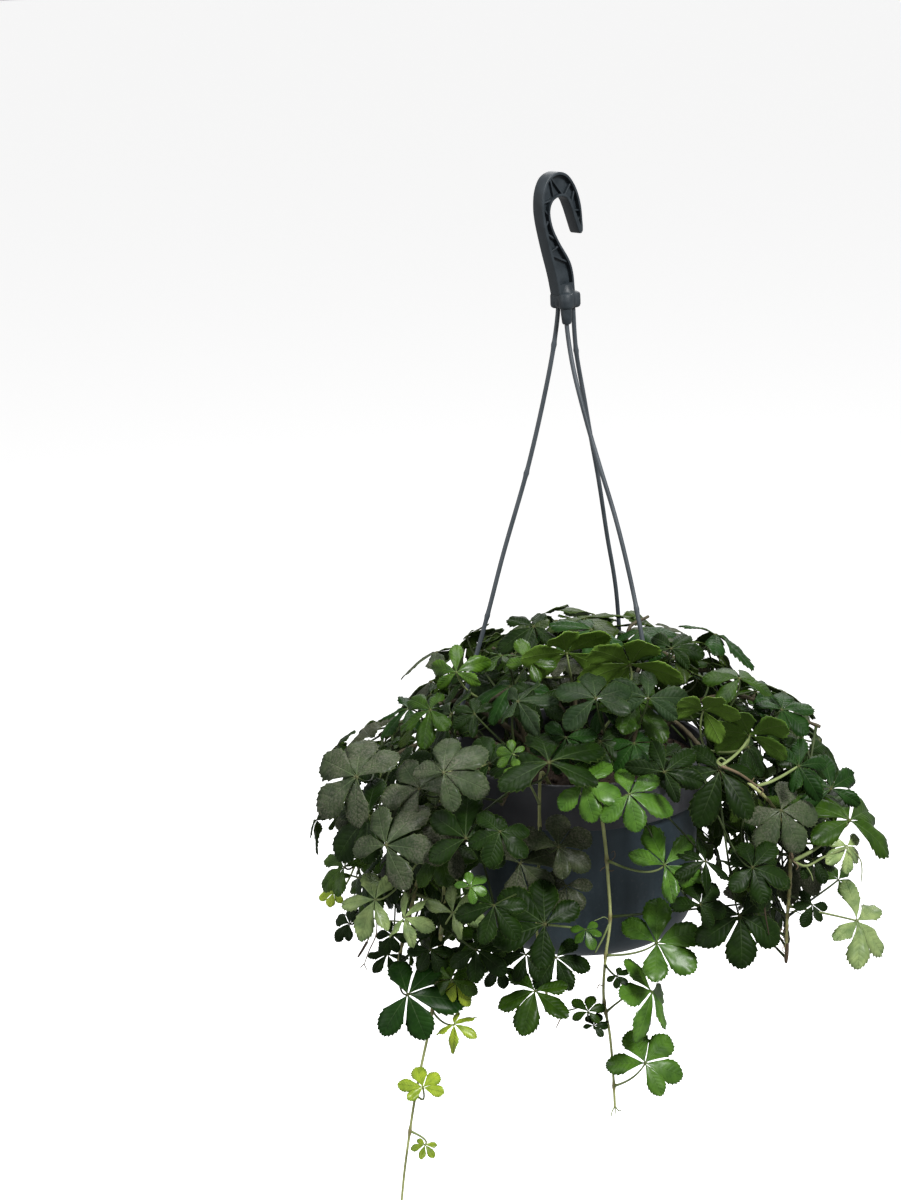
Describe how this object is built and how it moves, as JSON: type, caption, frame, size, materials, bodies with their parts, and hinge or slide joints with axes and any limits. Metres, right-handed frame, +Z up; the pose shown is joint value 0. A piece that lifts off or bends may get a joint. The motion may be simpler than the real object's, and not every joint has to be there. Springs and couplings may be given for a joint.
{
  "type": "hanging pot with a miniature grape ivy",
  "caption": "Trailing miniature grape ivy in a dark plastic pot that hangs from a moulded hook by thin strands.",
  "frame": {"origin": "the saddle inside the hook's bow, where the hook hangs on a bar or link", "axes": "+Z up, +X to the right as seen from the front, +Y away from the viewer"},
  "size_m": [0.3303, 0.2863, 0.5866],
  "materials": {
    "pot_plastic": "dark slate moulded plastic, satin",
    "hook_plastic": "dark slate moulded plastic, satin",
    "strand_plastic": "slate grey flexible plastic, satin",
    "soil": "dark brown potting soil, rough",
    "foliage": "green leaves with pale veins, satin"
  },
  "bodies": {
    "root": {"pot": "pot_plastic", "hanger_hook": "hook_plastic", "strand_left": "strand_plastic", "strand_front": "strand_plastic", "strand_back": "strand_plastic", "soil": "soil", "cutting_front": "foliage", "cutting_right": "foliage", "cutting_back_right": "foliage", "cutting_back": "foliage", "cutting_back_left": "foliage", "cutting_left": "foliage", "runner_front": "foliage", "runner_front_left": "foliage", "runner_left": "foliage", "runner_far_left": "foliage", "runner_right": "foliage"}
  },
  "joints": []
}
